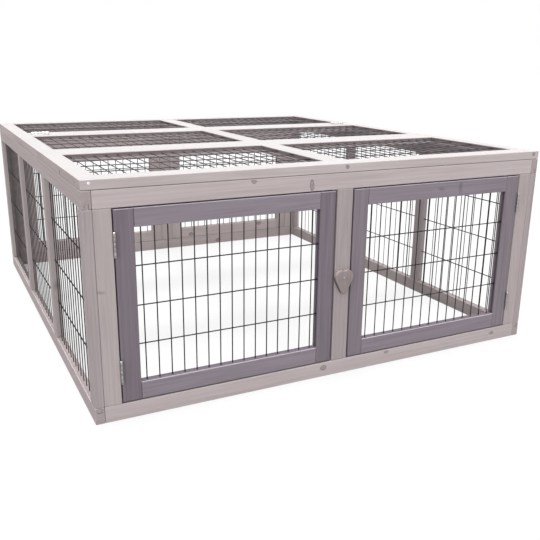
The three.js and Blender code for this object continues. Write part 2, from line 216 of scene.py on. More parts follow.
def stained_pine(name, along, tones, end_tone, painted_top_tones, arris, seed, knots=(), rimmed=True):
    """Planed pine under a thin matt grey stain: fine streaks along the board, soft growth rings that
    stay faint under the stain, darker end grain, knots that show through as brown-grey ovals, a
    painted highlight on the upper edges, and upper faces painted for the light: a pale painted
    highlight on the roof and painted shade on ledges."""
    material, tree, shader = new_material(name)
    middle = tones[1]

    # Growth rings: contour lines of a slow noise, a few millimetres apart, that flow round the knots.
    slow = add(tree, "ShaderNodeTexNoise", {
        "Vector": stretched(tree, along, *RING_SPAN, seed), "Scale": 1.0, "Detail": 2.0, "Roughness": 0.4,
    }).outputs["Fac"]
    rise = add(tree, "ShaderNodeMath", {0: slow, 1: RINGS_PER_SPAN}, operation="MULTIPLY").outputs[0]
    field = knot_field(tree, knots) if knots else None
    if field is not None:
        rise = add(tree, "ShaderNodeMath", {
            0: field, 1: KNOT_RINGS, 2: rise,
        }, operation="MULTIPLY_ADD").outputs[0]
    late = add(tree, "ShaderNodeMath", {0: rise, 1: 0.5}, operation="PINGPONG").outputs[0]

    # Fibres: long streaks, coarser than real ones so that they show.
    fibre = add(tree, "ShaderNodeTexNoise", {
        "Vector": stretched(tree, along, *FIBRE_SPAN, seed + 2.0),
        "Scale": 1.0, "Detail": 4.0, "Roughness": 0.7,
    }).outputs["Fac"]
    # The stain takes unevenly over about a hand's width.
    patch = add(tree, "ShaderNodeTexNoise", {
        "Vector": stretched(tree, along, *PATCH_SPAN, seed + 4.0), "Scale": 1.0, "Detail": 2.0,
    }).outputs["Fac"]

    tone = TONE_BASE
    for figure, weight in ((late, RING_WEIGHT), (fibre, FIBRE_WEIGHT), (patch, PATCH_WEIGHT)):
        tone = add(tree, "ShaderNodeMath", {
            0: figure, 1: weight, 2: tone,
        }, operation="MULTIPLY_ADD").outputs[0]
    tone = add(tree, "ShaderNodeMath", {0: tone, 1: TONE_SHIFT}, operation="SUBTRACT").outputs[0]
    colour = ramp(tree, tone, list(zip(TONE_STOPS, tones)))

    if field is not None:
        # A dark bark ring round paler heartwood, or a soft smudge where the knot lies under the face.
        stops = KNOT_RIM if rimmed else SMUDGE
        ring_round = ramp(tree, field, stops)
        colour = add(tree, "ShaderNodeMix", {
            "Factor": ring_round, "A": colour, "B": linear(KNOT_TONE),
        }, data_type="RGBA").outputs["Result"]

    # End grain and the arris round it drink more stain.
    facing = add(tree, "ShaderNodeSeparateXYZ", {
        "Vector": add(tree, "ShaderNodeTexCoord").outputs["Normal"],
    }).outputs[along]
    size = add(tree, "ShaderNodeMath", {0: facing}, operation="ABSOLUTE").outputs[0]
    end = add(tree, "ShaderNodeMapRange", {
        "Value": size, "From Min": 0.25, "From Max": 0.6,
    }).outputs["Result"]
    speck = add(tree, "ShaderNodeTexNoise", {
        "Vector": stretched(tree, along, *SPECK_SPAN, seed), "Scale": 1.0, "Detail": 3.0,
    }).outputs["Fac"]
    end_colour = ramp(tree, speck, [(0.25, end_tone), (0.7, middle)])
    colour = add(tree, "ShaderNodeMix", {
        "Factor": end, "A": colour, "B": end_colour,
    }, data_type="RGBA").outputs["Result"]

    upward = add(tree, "ShaderNodeSeparateXYZ", {
        "Vector": add(tree, "ShaderNodeTexCoord").outputs["Normal"],
    }).outputs["Z"]
    # Faces that look up: first a painted highlight on the rounded upper edges, then painted light on the flat
    # tops.
    edge = add(tree, "ShaderNodeMapRange", {
        "Value": upward, "From Min": 0.2, "From Max": 0.3, "To Max": 0.85,
    }).outputs["Result"]
    colour = add(tree, "ShaderNodeMix", {
        "Factor": edge, "A": colour, "B": linear(arris),
    }, data_type="RGBA").outputs["Result"]
    # Upper faces painted for the light: a pale painted highlight on the roof, painted shade on ledges.
    top = add(tree, "ShaderNodeMapRange", {
        "Value": upward, "From Min": 0.94, "From Max": 0.99,
    }).outputs["Result"]
    painted_top_light = ramp(tree, tone, list(zip(TONE_STOPS, painted_top_tones)))
    colour = add(tree, "ShaderNodeMix", {
        "Factor": top, "A": colour, "B": painted_top_light,
    }, data_type="RGBA")
    tree.links.new(colour.outputs["Result"], shader.inputs["Base Color"])

    rough = add(tree, "ShaderNodeMapRange", {"Value": fibre, "To Min": 0.66, "To Max": 0.9})
    tree.links.new(rough.outputs["Result"], shader.inputs["Roughness"])
    shader.inputs["IOR"].default_value = 1.45
    shader.inputs["Specular IOR Level"].default_value = 0.35
    bump = add(tree, "ShaderNodeBump", {"Height": fibre, "Strength": 0.35, "Distance": 0.25 * MM})
    tree.links.new(bump.outputs["Normal"], shader.inputs["Normal"])
    return material


COAT_SPAN = 18                  # in mm
SPANGLE = 4                     # in mm
PLY_PAIR = 4                    # one dark ply and one light one, in mm


def coated_wire(name, tones):
    """Welded steel wire under a dark grey factory coat: satin, with thin and thick places every
    centimetre or two that break up the shine."""
    material, tree, shader = new_material(name)
    place = add(tree, "ShaderNodeTexCoord").outputs["Object"]
    coat = add(tree, "ShaderNodeTexNoise", {
        "Vector": place, "Scale": 1000 / COAT_SPAN, "Detail": 3.0,
    }).outputs["Fac"]
    colour = ramp(tree, coat, list(zip((0.3, 0.55, 0.8), tones)))
    tree.links.new(colour, shader.inputs["Base Color"])
    rough = add(tree, "ShaderNodeMapRange", {"Value": coat, "To Min": 0.42, "To Max": 0.7})
    tree.links.new(rough.outputs["Result"], shader.inputs["Roughness"])
    shader.inputs["Specular IOR Level"].default_value = 0.3
    return material


def zinc_plate(name, tones, rough_from, rough_to):
    """Zinc on pressed steel: pale, slightly warm, with a soft cloudy spangle 4 mm across that also
    makes the surface faintly uneven."""
    material, tree, shader = new_material(name)
    place = add(tree, "ShaderNodeTexCoord").outputs["Object"]
    cloud = add(tree, "ShaderNodeTexNoise", {
        "Vector": place, "Scale": 1000 / SPANGLE, "Detail": 4.0,
    }).outputs["Fac"]
    colour = ramp(tree, cloud, list(zip((0.25, 0.55, 0.85), tones)))
    tree.links.new(colour, shader.inputs["Base Color"])
    rough = add(tree, "ShaderNodeMapRange", {"Value": cloud, "To Min": rough_from, "To Max": rough_to})
    tree.links.new(rough.outputs["Result"], shader.inputs["Roughness"])
    shader.inputs["Metallic"].default_value = 1.0
    bump = add(tree, "ShaderNodeBump", {"Height": cloud, "Strength": 0.2, "Distance": 0.05 * MM})
    tree.links.new(bump.outputs["Normal"], shader.inputs["Normal"])
    return material


def stained_plywood(name):
    """Birch plywood under the same grey stain: upright face grain, and plies 2 mm thick that show as
    dark and light lines round the sawn rim, with painted light on the rim: paler where it faces up,
    painted shade where it faces down."""
    material, tree, shader = new_material(name)
    fibre = add(tree, "ShaderNodeTexNoise", {
        "Vector": stretched(tree, Z, 2.2, 40, 3.0), "Scale": 1.0, "Detail": 5.0, "Roughness": 0.6,
    }).outputs["Fac"]
    face = ramp(tree, fibre, [(0.3, "#837776"), (0.55, "#938786"), (0.8, "#a19594")])
    depth = add(tree, "ShaderNodeSeparateXYZ", {
        "Vector": add(tree, "ShaderNodeTexCoord").outputs["Object"],
    }).outputs["Y"]
    ply = add(tree, "ShaderNodeMath", {0: depth, 1: 1000 / PLY_PAIR}, operation="MULTIPLY").outputs[0]
    ply = add(tree, "ShaderNodeMath", {0: ply}, operation="FRACT").outputs[0]
    facing = add(tree, "ShaderNodeSeparateXYZ", {
        "Vector": add(tree, "ShaderNodeTexCoord").outputs["Normal"],
    })
    upward = add(tree, "ShaderNodeMapRange", {
        "Value": facing.outputs["Z"], "From Min": -0.2, "From Max": 0.5,
    })
    # Painted light on the rim: a pale ramp where it faces up, painted shade where it faces down.
    rim = add(tree, "ShaderNodeMix", {
        "Factor": upward.outputs["Result"],
        "A": ramp(tree, ply, [(0.42, "#6f6462"), (0.58, "#5c5150")]),
        "B": ramp(tree, ply, [(0.42, "#a89d9a"), (0.58, "#938784")]),
    }, data_type="RGBA").outputs["Result"]
    size = add(tree, "ShaderNodeMath", {0: facing.outputs["Y"]}, operation="ABSOLUTE").outputs[0]
    flat = add(tree, "ShaderNodeMapRange", {"Value": size, "From Min": 0.35, "From Max": 0.7})
    colour = add(tree, "ShaderNodeMix", {
        "Factor": flat.outputs["Result"], "A": rim, "B": face,
    }, data_type="RGBA")
    tree.links.new(colour.outputs["Result"], shader.inputs["Base Color"])
    rough = add(tree, "ShaderNodeMapRange", {"Value": fibre, "To Min": 0.6, "To Max": 0.85})
    tree.links.new(rough.outputs["Result"], shader.inputs["Roughness"])
    shader.inputs["IOR"].default_value = 1.45
    shader.inputs["Specular IOR Level"].default_value = 0.35
    bump = add(tree, "ShaderNodeBump", {"Height": fibre, "Strength": 0.3, "Distance": 0.2 * MM})
    tree.links.new(bump.outputs["Normal"], shader.inputs["Normal"])
    return material


# Dark, middle and light stain of the boards. Uprights took more of it than the rails did.
GREY = {
    X: [("#a99d9d", "#bbafb0", "#c8bebe"), ("#a49898", "#b5a9aa", "#c2b8b8"),
        ("#aa9f9f", "#bcb1b1", "#c9c0bf")],
    Y: [("#9f9393", "#b0a4a5", "#bdb2b3"), ("#9b8f90", "#ada1a1", "#baafaf"),
        ("#a29696", "#b4a8a8", "#c1b7b6")],
    Z: [("#9c9090", "#aea2a2", "#bbb0af"), ("#9d9293", "#afa4a4", "#bdb2b2"),
        ("#948a8b", "#a69b9c", "#b4aaaa")],
}
MAUVE = {
    X: [("#776d77", "#898089", "#978d97"), ("#766c76", "#887e88", "#968c97")],
    Z: [("#665c65", "#776d76", "#857b84"), ("#71676f", "#827880", "#90868f")],
}
# Boards at the back: the same grey stain, painted lighter to stand in for light that reaches them too little.
REAR_PAINTED_LIGHTER = {
    X: [("#b5a8a7", "#c6b9b8", "#d2c6c5"), ("#b1a4a3", "#c2b5b4", "#cfc3c2")],
    Z: [("#b2a5a4", "#c3b6b5", "#d0c4c3"), ("#aea1a0", "#bfb2b1", "#ccc0bf")],
}
GREY_END = "#978b8c"
MAUVE_END = "#635962"
# Upper faces painted for the light: a pale neutral painted highlight on the roof's tops, painted shade on the
# ledges of the grey and mauve boards.
ROOF_TOP_PAINTED_HIGHLIGHT = ("#a19e9e", "#aaa7a7", "#b2afaf")
GREY_TOP_PAINTED_SHADE = ("#8b8181", "#9a9090", "#a89e9e")
MAUVE_TOP_PAINTED_SHADE = ("#635a64", "#70676f", "#7d747c")
AXIS_WORDS = ("across", "front to back", "upright")

# What each finish is called, its tones, its end grain, its upper faces' painted light, its upper
# edges' painted highlight, its slot and its first seed.
FINISHES = {
    "grey": ("grey stained pine", GREY, GREY_END, GREY_TOP_PAINTED_SHADE, "#c4bab9", "frame_wood", 0),
    "roof": ("bleached grey pine", GREY, GREY_END, ROOF_TOP_PAINTED_HIGHLIGHT, "#b7adad", "frame_wood", 4),
    "rear": ("grey stained pine at the back", REAR_PAINTED_LIGHTER, GREY_END, GREY_TOP_PAINTED_SHADE, "#c4bab9", "rear_wood", 7),
    "mauve": ("mauve stained pine", MAUVE, MAUVE_END, MAUVE_TOP_PAINTED_SHADE, "#c0b6c0", "door_wood", 9),
}

# Knots of single boards, and the dark stain round two roof screws: a place and three radii, in mm.
FRONT, REAR_FACE, LEFT = -583, 579, -530
KNOTS = {
    "front_top_rail_board": [((-79, FRONT, 421), (4, 12, 10)), ((-206, FRONT, 437), (6, 12, 4))],
    "front_bottom_rail_board": [
        ((-39, FRONT, 20), (6.5, 12, 4.6)), ((126, FRONT, 27.5), (5, 12, 3.4)),
        ((441, FRONT, 19), (6, 12, 4.4)),
    ],
    "front_left_stile_board": [((-508, FRONT, 258), (8, 12, 2.6))],
    "right_door_top_rail_board": [((249, FRONT, 391), (9, 12, 4)), ((302, FRONT, 392), (5, 12, 18))],
    "rear_right_panel_bottom_rail_board": [
        ((90, REAR_FACE, 44), (8, 12, 6)), ((365, REAR_FACE, 60), (8, 12, 6)),
    ],
    "rear_wall_bottom_rail_board": [((197, REAR_FACE, 11), (9, 12, 6))],
    "left_wall_front_divider_board": [((-519, -201, 161), (9, 4, 12))],
    "front_roof_front_rail_board": [((x, FRONT, ROOF_SCREWS_Z), (4.2, 6, 4.2)) for x in ROOF_SCREWS_X[1:]],
    "front_roof_left_bearer_board": [((LEFT, -405, 447), (8, 5, 4))],
}
# Boards whose knots lie under the face and show as smudges
SMUDGED = ("right_door_top_rail_board", "left_wall_front_divider_board", "front_left_stile_board")
stains = {}


def stain_for(name, along, finish, tone):
    """A board's stain: one of the few shared ones, or its own where the board has knots."""
    words, tables, end_tone, painted_top_tones, arris, _, seed = FINISHES[finish]
    tone %= len(tables[along])
    tones = tables[along][tone]
    if name in KNOTS:
        return stained_pine(
            f"{words} {name}", along, tones, end_tone, painted_top_tones, arris, 21 + 3 * list(KNOTS).index(name),
            KNOTS[name], name not in SMUDGED,
        )
    key = (finish, along, tone)
    if key not in stains:
        stains[key] = stained_pine(
            f"{words} {AXIS_WORDS[along]} {tone + 1}", along, tones, end_tone, painted_top_tones, arris,
            seed + 1.9 * tone + along,
        )
    return stains[key]


wire_coat = coated_wire("dark coated welded wire", ("#1c181b", "#262124", "#362f33"))
# The roof's wire: the same coat painted paler, a painted highlight for the top light on the wires.
roof_wire_painted_lighter = coated_wire("coated roof wire painted paler as highlight", ("#383337", "#484347", "#5a5458"))
zinc = zinc_plate("dull zinc plated steel", ("#7b7877", "#969392", "#b2b0ae"), 0.36, 0.58)
# The same zinc painted brighter: a painted highlight for the pin heads, the roof hinges and one roof screw.
zinc_painted_highlight = zinc_plate("zinc plated steel with painted highlight", ("#c4c2c1", "#dad9d8", "#ecebea"), 0.22, 0.42)
plywood = stained_plywood("grey stained plywood")


# ---------------------------------------------------------------- making pieces

TOUCHING = 1e-5


def begin():
    bpy.ops.object.select_all(action="DESELECT")


def only(obj):
    begin()
    obj.select_set(True)
    bpy.context.view_layer.objects.active = obj


def settle(obj):
    """Puts an object's place, turn and scale into its mesh."""
    only(obj)
    bpy.ops.object.transform_apply(location=True, rotation=True, scale=True)


def apply_modifiers(obj):
    only(obj)
    for modifier in list(obj.modifiers):
        bpy.ops.object.modifier_apply(modifier=modifier.name)


def smooth(obj, degrees=32):
    only(obj)
    bpy.ops.object.shade_smooth_by_angle(angle=math.radians(degrees))


def join(name, parts):
    only(parts[0])
    for part in parts[1:]:
        part.select_set(True)
    if len(parts) > 1:
        bpy.ops.object.join()
    parts[0].name = name
    parts[0].data.name = name
    return parts[0]


def copy_of(pattern, name, place, turn=(0, 0, 0)):
    """A copy of a finished pattern with its own mesh, turned about the origin and set in place."""
    only(pattern)
    bpy.ops.object.duplicate()
    obj = bpy.context.object
    obj.name = name
    obj.data.name = name
    obj.rotation_euler = turn
    obj.location = place
    settle(obj)
    return obj


def block(name, low, high):
    """A block between two corners, to be shaped further."""
    low, high = Vector(low), Vector(high)
    begin()
    bpy.ops.mesh.primitive_cube_add(size=1, location=(low + high) / 2)
    obj = bpy.context.object
    obj.name = name
    obj.scale = high - low
    settle(obj)
    return obj


def round_bar(name, centre, axis, radius, length, sides):
    """A round bar about a centre, along one axis."""
    turn = {X: (0, math.pi / 2, 0), Y: (math.pi / 2, 0, 0), Z: (0, 0, 0)}[axis]
    begin()
    bpy.ops.mesh.primitive_cylinder_add(
        vertices=sides, radius=radius, depth=length, location=centre, rotation=turn,
    )
    obj = bpy.context.object
    obj.name = name
    settle(obj)
    return obj


def ease(obj, width, segments=2, angle=30):
    """Rounds every sharp edge by a width."""
    modifier = obj.modifiers.new("eased", "BEVEL")
    modifier.width = width
    modifier.segments = segments
    modifier.limit_method = "ANGLE"
    modifier.angle_limit = math.radians(angle)
    modifier.use_clamp_overlap = True
    apply_modifiers(obj)


def select_faces(obj, wanted):
    """In edit mode, selects the faces that a test on centre and normal accepts."""
    bpy.ops.mesh.select_all(action="DESELECT")
    mesh = bmesh.from_edit_mesh(obj.data)
    for face in mesh.faces:
        face.select_set(wanted(face.calc_center_median(), face.normal))
    bmesh.update_edit_mesh(obj.data)


def cut_groove(obj, low, high, along, side, middle):
    """Ploughs a groove along one narrow side of a board. side is an axis and -1 or 1; middle is the
    groove's centre on the board's thickness axis."""
    across, way = side
    thick = ({X, Y, Z} - {along, across}).pop()
    face = high[across] if way > 0 else low[across]
    floor = face - way * GROOVE_DEPTH
    lower, upper = middle - GROOVE_WIDTH / 2, middle + GROOVE_WIDTH / 2
    only(obj)
    bpy.ops.object.mode_set(mode="EDIT")
    for axis, value in ((thick, lower), (thick, upper), (across, floor)):
        point, normal = [0, 0, 0], [0, 0, 0]
        point[axis], normal[axis] = value, 1
        bpy.ops.mesh.select_all(action="SELECT")
        bpy.ops.mesh.bisect(plane_co=point, plane_no=normal)
    select_faces(obj, lambda c, n: (
        abs(c[across] - face) < TOUCHING and lower < c[thick] < upper and abs(n[across]) > 0.9
    ))
    step = [0, 0, 0]
    step[across] = -way * GROOVE_DEPTH
    bpy.ops.mesh.extrude_region_move(TRANSFORM_OT_translate={"value": step})
    deep = sorted((face, floor))
    select_faces(obj, lambda c, n: (
        min(abs(c[along] - low[along]), abs(c[along] - high[along])) < TOUCHING
        and lower < c[thick] < upper and deep[0] < c[across] < deep[1]
    ))
    bpy.ops.mesh.delete(type="ONLY_FACE")
    bpy.ops.mesh.select_all(action="SELECT")
    bpy.ops.mesh.remove_doubles(threshold=1e-6)
    bpy.ops.object.mode_set(mode="OBJECT")


def body_of(node):
    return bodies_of(frame["nodes"][node])[0]


def dress(obj, node, material):
    """Gives a finished piece its finish and hangs it on its node's body in the node's place."""
    obj.data.materials.clear()
    obj.data.materials.append(material)
    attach(obj, body_of(node))
    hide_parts(node)
    frame["nodes"][node].data.materials.clear()
    frame["nodes"][node].data.materials.append(material)
    return obj


board_count = 0


def board(name, node, low, high, along, grooves=(), groove_middle=None, finish="grey", tongues=(), tone=None):
    """One planed board: sawn to length, grooved where mesh enters it, its edges eased. Its faces are
    shaded flat, so that they stay even up to those edges. tongues are pairs of corners."""
    global board_count
    obj = block(name, low, high)
    low, high = Vector(low), Vector(high)
    for side in grooves:
        thick = ({X, Y, Z} - {along, side[0]}).pop()
        middle = (low[thick] + high[thick]) / 2 if groove_middle is None else groove_middle
        cut_groove(obj, low, high, along, side, middle)
    ease(obj, EASED_EDGE)
    extras = []
    for i, (a, b) in enumerate(tongues):
        tongue = block(f"{name}_tongue_{i}", a, b)
        ease(tongue, 0.4 * MM, 1)
        extras.append(tongue)
    obj = join(name, [obj] + extras)
    material = stain_for(name, along, finish, board_count if tone is None else tone)
    board_count += 1
    return dress(obj, node, material)


# ---------------------------------------------------------------- welded mesh

def wire_places(opening, pitch):
    """How many wires stand in an opening, and how far in the first of them stands."""
    count = math.floor(opening / pitch + 1e-6)
    first = (opening - (count - 1) * pitch) / 2
    return count, first


WIRE_SIDES = 10
WIRE_END = 0.25 * MM


def wire_row(place, along, length, repeat, pitch, count, wire):
    """One wire, made once and repeated at its pitch."""
    row = round_bar("wires", place, along, wire / 2, length, WIRE_SIDES)
    ease(row, WIRE_END, 1, 60)
    rows = row.modifiers.new("row", "ARRAY")
    rows.count = count
    rows.use_relative_offset = False
    rows.use_constant_offset = True
    step = [0, 0, 0]
    step[repeat] = pitch
    rows.constant_offset_displace = step
    apply_modifiers(row)
    return row


def welded_sheet(low, high, across, thick, along, long_pitch, wire, cross_wire):
    """A sheet of welded mesh between two corners: close wires along one axis and wide-set wires laid
    across them, sunk a little into each other where they cross."""
    start = [low[i] + SHEET_REACH for i in range(3)]
    end = [high[i] - SHEET_REACH for i in range(3)]
    middle = (low + high) / 2
    rows = []
    directions = ((across, along, SHORT_PITCH, -1, wire), (along, across, long_pitch, 1, cross_wire))
    for repeat, run, pitch, side, wire in directions:
        count, first = wire_places(end[repeat] - start[repeat], pitch)
        place = middle.copy()
        place[repeat] = start[repeat] + first
        place[thick] += side * (wire / 2 - WELD_SINK)
        rows.append(wire_row(place, run, high[run] - low[run] - SHEET_TRIM, repeat, pitch, count, wire))
    sheet = join("welded_sheet", rows)
    smooth(sheet, 50)
    return sheet


sheet_patterns = {}


def mesh_sheet(node, across, thick, along, long_pitch, wire=WIRE, cross_wire=None, coat=wire_coat):
    """The sheet in a node's place. Sheets of one size are copies of the first."""
    low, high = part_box(node)
    size = tuple(round(v, 4) for v in high - low)
    if size not in sheet_patterns:
        pattern = welded_sheet(low, high, across, thick, along, long_pitch, wire, cross_wire or wire)
        sheet_patterns[size] = (pattern, low.copy())
    pattern, home = sheet_patterns[size]
    sheet = copy_of(pattern, f"{node}_wires", low - home)
    return dress(sheet, node, coat)


def clear_patterns():
    for pattern, _ in sheet_patterns.values():
        bpy.data.objects.remove(pattern)


# ---------------------------------------------------------------- camera, light and floor

# Fitted to the corners of the run in the photograph
LENS_MM = 46.146
SENSOR_MM = 36
CAMERA_PLACE = (-0.76196, -1.75625, 0.65441)
CAMERA_TURN = (73.2009, -0.5946, -26.5962)

FILL_LIGHT = 0.34
FLOOR_TONE = 0.3                # what lights the run from below
FLOOR_TONE_SEEN = 0.1           # what the eye sees, with the glow: white with a faint shadow
FLOOR_GLOW = 0.84


def look():
    """A camera at the photograph's viewing angle."""
    lens = bpy.data.cameras.new("camera")
    lens.lens = LENS_MM
    lens.sensor_width = SENSOR_MM
    lens.clip_start = 0.01
    lens.clip_end = 100
    camera = bpy.data.objects.new("camera", lens)
    bpy.context.collection.objects.link(camera)
    camera.location = CAMERA_PLACE
    camera.rotation_euler = [math.radians(a) for a in CAMERA_TURN]
    bpy.context.scene.camera = camera


def sun(name, towards, strength, width):
    """A broad soft lamp far away, shining from a direction."""
    lamp = bpy.data.lights.new(name, "SUN")
    lamp.energy = strength
    lamp.angle = math.radians(width)
    obj = bpy.data.objects.new(name, lamp)
    bpy.context.collection.objects.link(obj)
    obj.rotation_euler = Vector(towards).to_track_quat("Z", "Y").to_euler()


def seen(tree):
    """1 for rays from the eye or off a shiny surface, 0 for those that carry light between matt ones."""
    path = add(tree, "ShaderNodeLightPath").outputs
    return add(tree, "ShaderNodeMath", {
        0: path["Is Camera Ray"], 1: path["Is Glossy Ray"],
    }, operation="MAXIMUM").outputs[0]


def studio():
    """A white room: even light from all round, a soft lamp overhead, a very broad one before the run
    on the left, and a weak one behind."""
    world = bpy.data.worlds.new("white studio")
    bpy.context.scene.world = world
    world.use_nodes = True
    tree = world.node_tree
    tree.nodes.clear()
    fill = add(tree, "ShaderNodeBackground", {"Color": (1, 1, 1, 1), "Strength": FILL_LIGHT})
    white = add(tree, "ShaderNodeBackground", {"Color": (1, 1, 1, 1), "Strength": 1.0})
    mixed = add(tree, "ShaderNodeMixShader", {0: seen(tree), 1: fill.outputs[0], 2: white.outputs[0]})
    add(tree, "ShaderNodeOutputWorld", {"Surface": mixed.outputs[0]})
    sun("key lamp", (-0.02, 0.06, 1.70), 4.55, 22)
    sun("front lamp", (-0.62, -1.0, 0.35), 2.6, 90)
    sun("back lamp", (0.6, 0.8, 0.7), 0.5, 60)

    floor_material, tree, shader = new_material("matt white studio floor")
    shader.inputs["Roughness"].default_value = 0.9
    shader.inputs["Specular IOR Level"].default_value = 0.0
    shader.inputs["Emission Color"].default_value = (1, 1, 1, 1)
    eye = seen(tree)
    body = add(tree, "ShaderNodeMix", {
        "Factor": eye, "A": (FLOOR_TONE,) * 3 + (1,), "B": (FLOOR_TONE_SEEN,) * 3 + (1,),
    }, data_type="RGBA")
    tree.links.new(body.outputs["Result"], shader.inputs["Base Color"])
    glow = add(tree, "ShaderNodeMath", {0: eye, 1: FLOOR_GLOW}, operation="MULTIPLY")
    tree.links.new(glow.outputs[0], shader.inputs["Emission Strength"])
    begin()
    bpy.ops.mesh.primitive_plane_add(size=60, location=(0, 0, -0.0005))
    floor = bpy.context.object
    floor.name = "studio_floor"
    floor.data.materials.append(floor_material)


look()
studio()


# ---------------------------------------------------------------- walls

low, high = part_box("front_bottom_rail")
front_y = (low.y, high.y)
wall_left, wall_right = low.x, high.x
foot_top = high.z
low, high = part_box("front_top_rail")
head_bottom, body_top = low.z, high.z
low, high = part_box("rear_wall_frame")
rear_y = (low.y, high.y)


def front_wall():
    for node in ("front_top_rail", "front_bottom_rail"):
        low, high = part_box(node)
        board(f"{node}_board", node, low, high, X, tone=0)
    low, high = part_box("front_left_stile")
    board("front_left_stile_board", "front_left_stile", low, high, Z, tone=1)
    half = MULLION / 2
    board("front_mullion_board", "front_mullion", (-half, low.y, low.z), (half, high.y, high.z), Z, tone=2)
    low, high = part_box("front_right_stile")
    board("front_right_stile_board", "front_right_stile", low, high, Z, tone=0)


def side_wall(side):
    bottom_low, bottom_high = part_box(f"{side}_wall_bottom_rail")
    top_low, top_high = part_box(f"{side}_wall_top_rail")
    board(f"{side}_wall_bottom_rail_board", f"{side}_wall_bottom_rail", bottom_low, bottom_high, Y, [(Z, 1)])
    board(f"{side}_wall_top_rail_board", f"{side}_wall_top_rail", top_low, top_high, Y, [(Z, -1)], tone=1)
    z0, z1 = bottom_high.z + GAP, top_low.z - GAP
    stiles = (
        ("front_stile", [(Y, 1)]), ("front_divider", [(Y, -1), (Y, 1)]),
        ("rear_divider", [(Y, -1), (Y, 1)]), ("rear_stile", [(Y, -1)]),
    )
    for stile, grooves in stiles:
        node = f"{side}_wall_{stile}"
        low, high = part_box(node)
        middle = (low.x + high.x) / 2
        half = GROOVE_WIDTH / 2 - TONGUE_PLAY
        y0 = low.y + (GROOVE_DEPTH + GAP if (Y, -1) in grooves else TONGUE_EDGE)
        y1 = high.y - (GROOVE_DEPTH + GAP if (Y, 1) in grooves else TONGUE_EDGE)
        deep = GROOVE_DEPTH - TONGUE_PLAY
        tongues = [
            ((middle - half, y0, bottom_high.z - deep), (middle + half, y1, z0 + TONGUE_ROOT)),
            ((middle - half, y0, z1 - TONGUE_ROOT), (middle + half, y1, top_low.z + deep)),
        ]
        board(
            f"{node}_board", node, (low.x, low.y, z0), (high.x, high.y, z1), Z, grooves,
            tongues=tongues, tone=2,
        )
    for bay in ("front", "middle", "rear"):
        mesh_sheet(f"{side}_wall_{bay}_mesh", Y, X, Z, SIDE_LONG_PITCH, cross_wire=SIDE_CROSS_WIRE)


def panel(prefix, nodes, low, high, finish, tone=None, wider=(0, 0)):
    """A mesh panel's frame: full-height stiles with the rails between them. nodes names the CAD node
    that each board stands for; wider is what the left and right stiles gain on their outer edges."""
    left, right = low.x + DOOR_BOARD, high.x - DOOR_BOARD
    lower, upper = low.z + DOOR_BOARD, high.z - DOOR_BOARD
    boards = (
        ("left_stile", (low.x - wider[0], low.z), (left, high.z), Z, [(X, 1)]),
        ("right_stile", (right, low.z), (high.x + wider[1], high.z), Z, [(X, -1)]),
        ("bottom_rail", (left + GAP, low.z), (right - GAP, lower), X, [(Z, 1)]),
        ("top_rail", (left + GAP, upper), (right - GAP, high.z), X, [(Z, -1)]),
    )
    for part, (x0, z0), (x1, z1), along, grooves in boards:
        a, b = (x0, low.y, z0), (x1, high.y, z1)
        board(f"{prefix}_{part}_board", nodes[part], a, b, along, grooves, finish=finish, tone=tone)


def rear_wall():
    node = "rear_wall_frame"
    y0, y1 = rear_y
    left, right = wall_left, wall_right
    half = MULLION / 2
    z0, z1 = foot_top + GAP, head_bottom - GAP
    boards = (
        ("bottom_rail", (left, y0, 0), (right, y1, foot_top), X),
        ("top_rail", (left, y0, head_bottom), (right, y1, body_top), X),
        ("left_stile", (left, y0, z0), (left + BOARD, y1, z1), Z),
        ("right_stile", (right - BOARD, y0, z0), (right, y1, z1), Z),
        ("mullion", (-half, y0, z0), (half, y1, z1), Z),
    )
    for part, a, b, along in boards:
        board(f"rear_wall_{part}_board", node, a, b, along, finish="rear")
    for side in ("left", "right"):
        node = f"rear_{side}_panel_frame"
        low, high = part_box(node)
        parts = ("left_stile", "right_stile", "bottom_rail", "top_rail")
        panel(f"rear_{side}_panel", {part: node for part in parts}, low, high, "rear")
        mesh_sheet(f"rear_{side}_panel_mesh", X, Y, Z, LONG_PITCH, PANEL_WIRE)


def door(side):
    prefix = f"{side}_door"
    left, right = ("hinge_stile", "lock_stile") if side == "left" else ("lock_stile", "hinge_stile")
    nodes = {
        "left_stile": f"{prefix}_{left}", "right_stile": f"{prefix}_{right}",
        "bottom_rail": f"{prefix}_bottom_rail", "top_rail": f"{prefix}_top_rail",
    }
    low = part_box(nodes["left_stile"])[0]
    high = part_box(nodes["right_stile"])[1]
    wider = (HINGE_SIDE_GAIN, 0) if side == "left" else (0, HINGE_SIDE_GAIN)
    panel(prefix, nodes, low, high, "mauve", ("left", "right").index(side), wider)
    mesh_sheet(f"{prefix}_mesh", X, Y, Z, LONG_PITCH, PANEL_WIRE)


# ---------------------------------------------------------------- fittings

RECESS_REACH = 0.62             # in radii of the head
RECESS_FLOOR = 0.45             # in heights of the head
RECESS_TURN = 0.35


